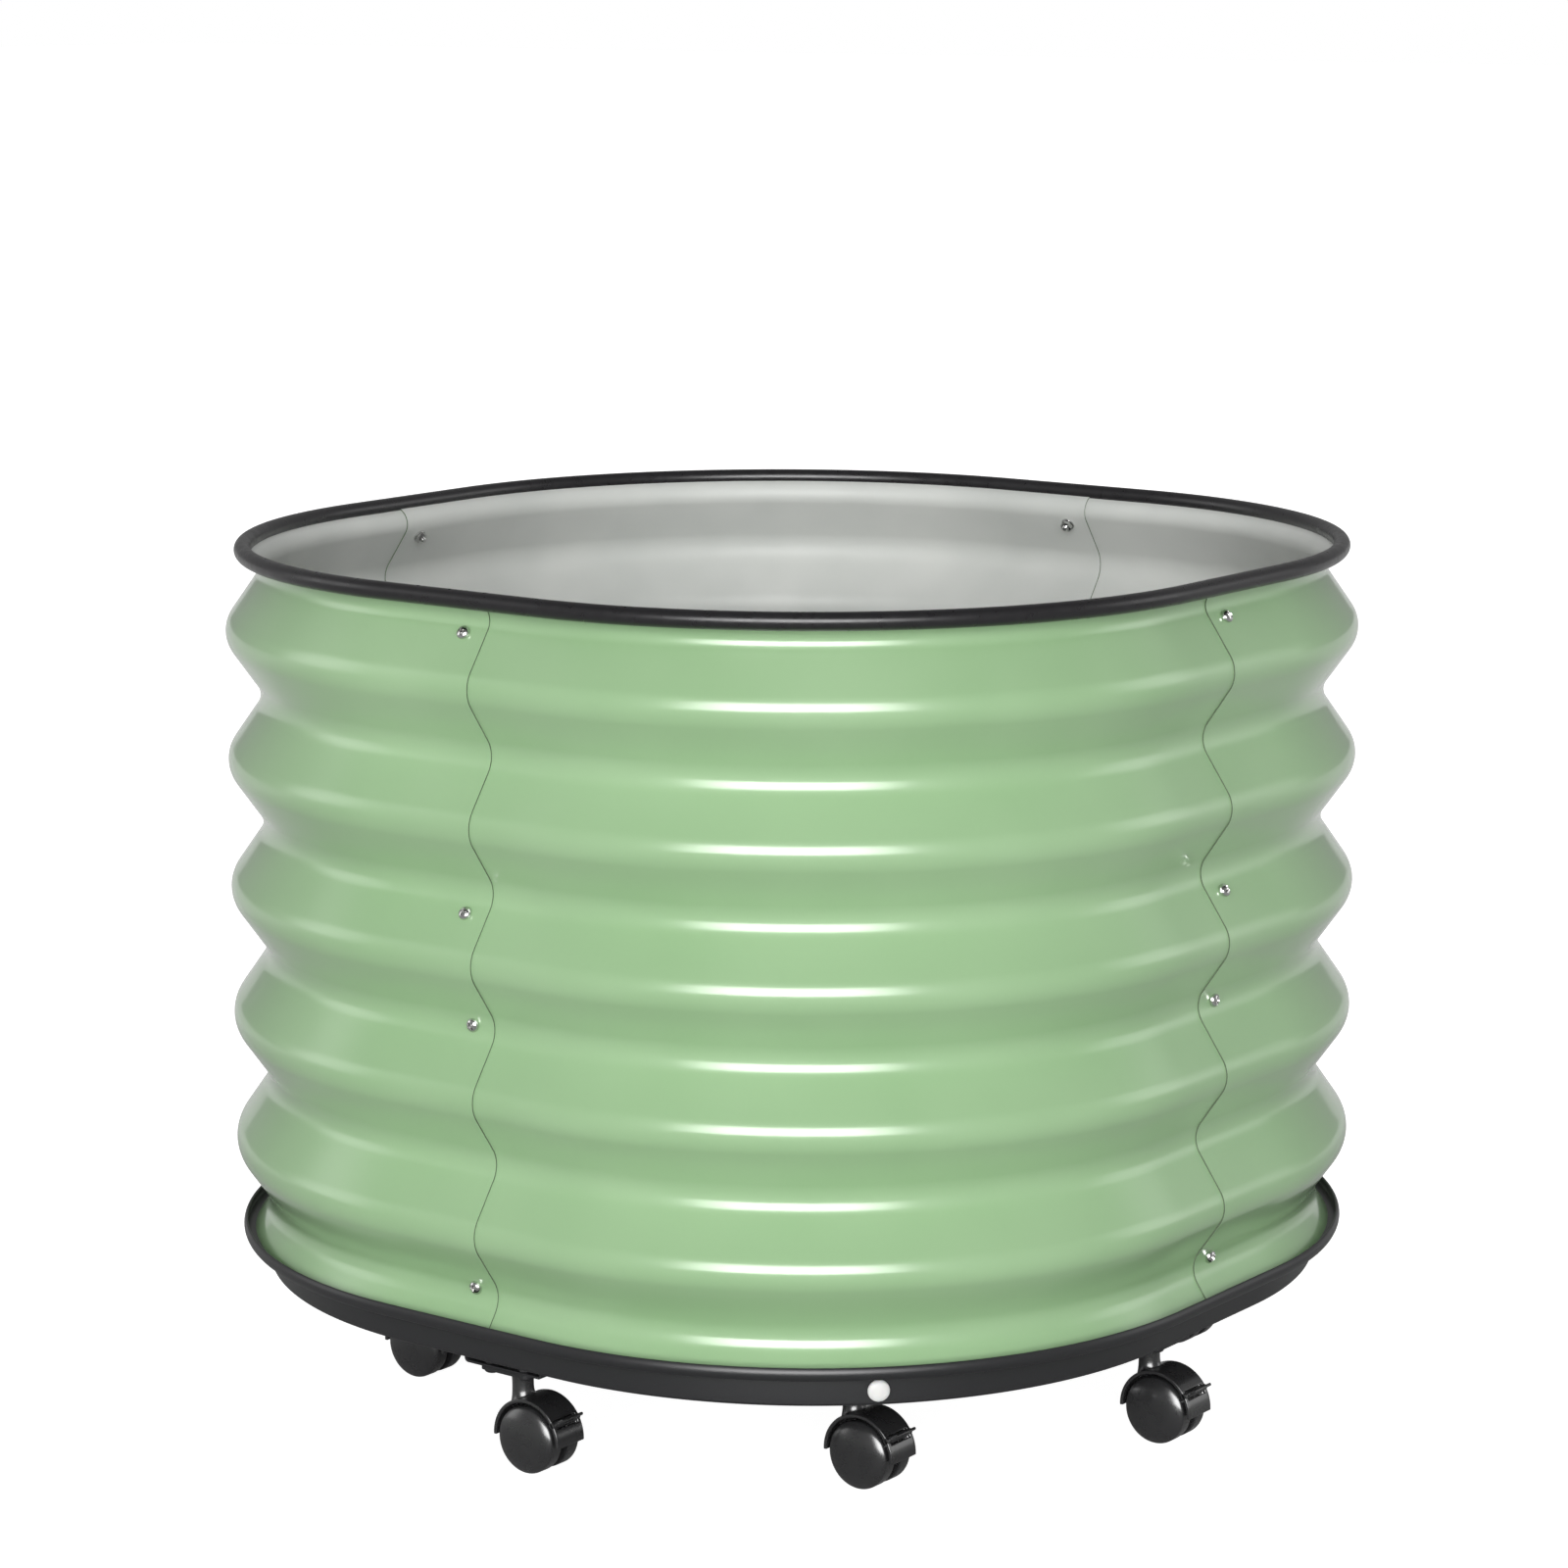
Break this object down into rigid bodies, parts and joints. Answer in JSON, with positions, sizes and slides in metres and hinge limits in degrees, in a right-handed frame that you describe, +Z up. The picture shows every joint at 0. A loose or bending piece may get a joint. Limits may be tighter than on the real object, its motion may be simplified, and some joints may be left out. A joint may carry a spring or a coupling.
{
  "type": "rolling planter",
  "caption": "Corrugated steel planter, a square with large round corners, on a lipped base tray with a drain plug and twin-wheel braked casters.",
  "frame": {"origin": "on the floor, under the middle of the bed", "axes": "+Z up; +X and +Y square to the flat sides; the drain plug is in the corner at +X, -Y"},
  "size_m": [0.6418, 0.6418, 0.5178],
  "materials": {
    "green_paint": "glossy baked enamel on corrugated steel sheet",
    "black_paint": "satin powder coat",
    "black_rubber": "smooth extruded rubber with a dull sheen",
    "bright_steel": "bright plated steel",
    "black_plastic": "glossy moulded nylon",
    "white_plastic": "smooth moulded plastic"
  },
  "bodies": {
    "planter": {"panel_front": "green_paint", "panel_right": "green_paint", "panel_back": "green_paint", "panel_left": "green_paint", "rim_trim": "black_rubber", "base_tray": "black_paint", "seam_bolts": "bright_steel", "seam_washers": "bright_steel", "seam_nuts": "bright_steel", "caster_brackets": "black_paint", "bracket_studs": "black_paint", "bracket_nuts": "black_paint", "caster_plates": "black_paint", "plate_screws": "black_paint", "plate_nuts": "black_paint", "kingpins": "bright_steel", "thrust_washers": "bright_steel"},
    "plug": {"drain_plug": "white_plastic", "plug_gasket": "black_rubber"},
    "caster_1_swivel": {"caster_1_housing": "black_plastic", "caster_1_axle": "bright_steel"},
    "caster_1_wheel_near": {"caster_1_wheel_near": "black_plastic"},
    "caster_1_wheel_far": {"caster_1_wheel_far": "black_plastic"},
    "caster_1_brake": {"caster_1_brake": "black_plastic"},
    "caster_2_swivel": {"caster_2_housing": "black_plastic", "caster_2_axle": "bright_steel"},
    "caster_2_wheel_near": {"caster_2_wheel_near": "black_plastic"},
    "caster_2_wheel_far": {"caster_2_wheel_far": "black_plastic"},
    "caster_2_brake": {"caster_2_brake": "black_plastic"},
    "caster_3_swivel": {"caster_3_housing": "black_plastic", "caster_3_axle": "bright_steel"},
    "caster_3_wheel_near": {"caster_3_wheel_near": "black_plastic"},
    "caster_3_wheel_far": {"caster_3_wheel_far": "black_plastic"},
    "caster_3_brake": {"caster_3_brake": "black_plastic"},
    "caster_4_swivel": {"caster_4_housing": "black_plastic", "caster_4_axle": "bright_steel"},
    "caster_4_wheel_near": {"caster_4_wheel_near": "black_plastic"},
    "caster_4_wheel_far": {"caster_4_wheel_far": "black_plastic"},
    "caster_4_brake": {"caster_4_brake": "black_plastic"},
    "caster_5_swivel": {"caster_5_housing": "black_plastic", "caster_5_axle": "bright_steel"},
    "caster_5_wheel_near": {"caster_5_wheel_near": "black_plastic"},
    "caster_5_wheel_far": {"caster_5_wheel_far": "black_plastic"},
    "caster_5_brake": {"caster_5_brake": "black_plastic"},
    "caster_6_swivel": {"caster_6_housing": "black_plastic", "caster_6_axle": "bright_steel"},
    "caster_6_wheel_near": {"caster_6_wheel_near": "black_plastic"},
    "caster_6_wheel_far": {"caster_6_wheel_far": "black_plastic"},
    "caster_6_brake": {"caster_6_brake": "black_plastic"},
    "caster_7_swivel": {"caster_7_housing": "black_plastic", "caster_7_axle": "bright_steel"},
    "caster_7_wheel_near": {"caster_7_wheel_near": "black_plastic"},
    "caster_7_wheel_far": {"caster_7_wheel_far": "black_plastic"},
    "caster_7_brake": {"caster_7_brake": "black_plastic"},
    "caster_8_swivel": {"caster_8_housing": "black_plastic", "caster_8_axle": "bright_steel"},
    "caster_8_wheel_near": {"caster_8_wheel_near": "black_plastic"},
    "caster_8_wheel_far": {"caster_8_wheel_far": "black_plastic"},
    "caster_8_brake": {"caster_8_brake": "black_plastic"}
  },
  "joints": [
    {"name": "plug_pull", "type": "slide", "parent": "planter", "child": "plug", "axis": [0.7071, -0.7071, 0], "range_m": [0, 0.03]},
    {"name": "caster_1_turn", "type": "hinge", "parent": "planter", "child": "caster_1_swivel", "pos_m": [0.16855, -0.16855, 0.052], "axis": [0, 0, 1], "continuous": true},
    {"name": "caster_1_roll_near", "type": "hinge", "parent": "caster_1_swivel", "child": "caster_1_wheel_near", "pos_m": [0.18005, -0.16855, 0.02], "axis": [0, 1, 0], "continuous": true},
    {"name": "caster_1_roll_far", "type": "hinge", "parent": "caster_1_swivel", "child": "caster_1_wheel_far", "pos_m": [0.18005, -0.16855, 0.02], "axis": [0, 1, 0], "continuous": true},
    {"name": "caster_1_brake_press", "type": "hinge", "parent": "caster_1_swivel", "child": "caster_1_brake", "pos_m": [0.19964, -0.16855, 0.03224], "axis": [0, 1, 0], "range_deg": [0, 25]},
    {"name": "caster_2_turn", "type": "hinge", "parent": "planter", "child": "caster_2_swivel", "pos_m": [0.262, 0, 0.052], "axis": [0, 0, 1], "continuous": true},
    {"name": "caster_2_roll_near", "type": "hinge", "parent": "caster_2_swivel", "child": "caster_2_wheel_near", "pos_m": [0.2735, 0, 0.02], "axis": [0, 1, 0], "continuous": true},
    {"name": "caster_2_roll_far", "type": "hinge", "parent": "caster_2_swivel", "child": "caster_2_wheel_far", "pos_m": [0.2735, 0, 0.02], "axis": [0, 1, 0], "continuous": true},
    {"name": "caster_2_brake_press", "type": "hinge", "parent": "caster_2_swivel", "child": "caster_2_brake", "pos_m": [0.29309, 0, 0.03224], "axis": [0, 1, 0], "range_deg": [0, 25]},
    {"name": "caster_3_turn", "type": "hinge", "parent": "planter", "child": "caster_3_swivel", "pos_m": [0.16855, 0.16855, 0.052], "axis": [0, 0, 1], "continuous": true},
    {"name": "caster_3_roll_near", "type": "hinge", "parent": "caster_3_swivel", "child": "caster_3_wheel_near", "pos_m": [0.18005, 0.16855, 0.02], "axis": [0, 1, 0], "continuous": true},
    {"name": "caster_3_roll_far", "type": "hinge", "parent": "caster_3_swivel", "child": "caster_3_wheel_far", "pos_m": [0.18005, 0.16855, 0.02], "axis": [0, 1, 0], "continuous": true},
    {"name": "caster_3_brake_press", "type": "hinge", "parent": "caster_3_swivel", "child": "caster_3_brake", "pos_m": [0.19964, 0.16855, 0.03224], "axis": [0, 1, 0], "range_deg": [0, 25]},
    {"name": "caster_4_turn", "type": "hinge", "parent": "planter", "child": "caster_4_swivel", "pos_m": [0, 0.262, 0.052], "axis": [0, 0, 1], "continuous": true},
    {"name": "caster_4_roll_near", "type": "hinge", "parent": "caster_4_swivel", "child": "caster_4_wheel_near", "pos_m": [0.0115, 0.262, 0.02], "axis": [0, 1, 0], "continuous": true},
    {"name": "caster_4_roll_far", "type": "hinge", "parent": "caster_4_swivel", "child": "caster_4_wheel_far", "pos_m": [0.0115, 0.262, 0.02], "axis": [0, 1, 0], "continuous": true},
    {"name": "caster_4_brake_press", "type": "hinge", "parent": "caster_4_swivel", "child": "caster_4_brake", "pos_m": [0.03109, 0.262, 0.03224], "axis": [0, 1, 0], "range_deg": [0, 25]},
    {"name": "caster_5_turn", "type": "hinge", "parent": "planter", "child": "caster_5_swivel", "pos_m": [-0.16855, 0.16855, 0.052], "axis": [0, 0, 1], "continuous": true},
    {"name": "caster_5_roll_near", "type": "hinge", "parent": "caster_5_swivel", "child": "caster_5_wheel_near", "pos_m": [-0.15705, 0.16855, 0.02], "axis": [0, 1, 0], "continuous": true},
    {"name": "caster_5_roll_far", "type": "hinge", "parent": "caster_5_swivel", "child": "caster_5_wheel_far", "pos_m": [-0.15705, 0.16855, 0.02], "axis": [0, 1, 0], "continuous": true},
    {"name": "caster_5_brake_press", "type": "hinge", "parent": "caster_5_swivel", "child": "caster_5_brake", "pos_m": [-0.13746, 0.16855, 0.03224], "axis": [0, 1, 0], "range_deg": [0, 25]},
    {"name": "caster_6_turn", "type": "hinge", "parent": "planter", "child": "caster_6_swivel", "pos_m": [-0.262, 0, 0.052], "axis": [0, 0, 1], "continuous": true},
    {"name": "caster_6_roll_near", "type": "hinge", "parent": "caster_6_swivel", "child": "caster_6_wheel_near", "pos_m": [-0.2505, 0, 0.02], "axis": [0, 1, 0], "continuous": true},
    {"name": "caster_6_roll_far", "type": "hinge", "parent": "caster_6_swivel", "child": "caster_6_wheel_far", "pos_m": [-0.2505, 0, 0.02], "axis": [0, 1, 0], "continuous": true},
    {"name": "caster_6_brake_press", "type": "hinge", "parent": "caster_6_swivel", "child": "caster_6_brake", "pos_m": [-0.23091, 0, 0.03224], "axis": [0, 1, 0], "range_deg": [0, 25]},
    {"name": "caster_7_turn", "type": "hinge", "parent": "planter", "child": "caster_7_swivel", "pos_m": [-0.16855, -0.16855, 0.052], "axis": [0, 0, 1], "continuous": true},
    {"name": "caster_7_roll_near", "type": "hinge", "parent": "caster_7_swivel", "child": "caster_7_wheel_near", "pos_m": [-0.15705, -0.16855, 0.02], "axis": [0, 1, 0], "continuous": true},
    {"name": "caster_7_roll_far", "type": "hinge", "parent": "caster_7_swivel", "child": "caster_7_wheel_far", "pos_m": [-0.15705, -0.16855, 0.02], "axis": [0, 1, 0], "continuous": true},
    {"name": "caster_7_brake_press", "type": "hinge", "parent": "caster_7_swivel", "child": "caster_7_brake", "pos_m": [-0.13746, -0.16855, 0.03224], "axis": [0, 1, 0], "range_deg": [0, 25]},
    {"name": "caster_8_turn", "type": "hinge", "parent": "planter", "child": "caster_8_swivel", "pos_m": [0, -0.262, 0.052], "axis": [0, 0, 1], "continuous": true},
    {"name": "caster_8_roll_near", "type": "hinge", "parent": "caster_8_swivel", "child": "caster_8_wheel_near", "pos_m": [0.0115, -0.262, 0.02], "axis": [0, 1, 0], "continuous": true},
    {"name": "caster_8_roll_far", "type": "hinge", "parent": "caster_8_swivel", "child": "caster_8_wheel_far", "pos_m": [0.0115, -0.262, 0.02], "axis": [0, 1, 0], "continuous": true},
    {"name": "caster_8_brake_press", "type": "hinge", "parent": "caster_8_swivel", "child": "caster_8_brake", "pos_m": [0.03109, -0.262, 0.03224], "axis": [0, 1, 0], "range_deg": [0, 25]}
  ]
}
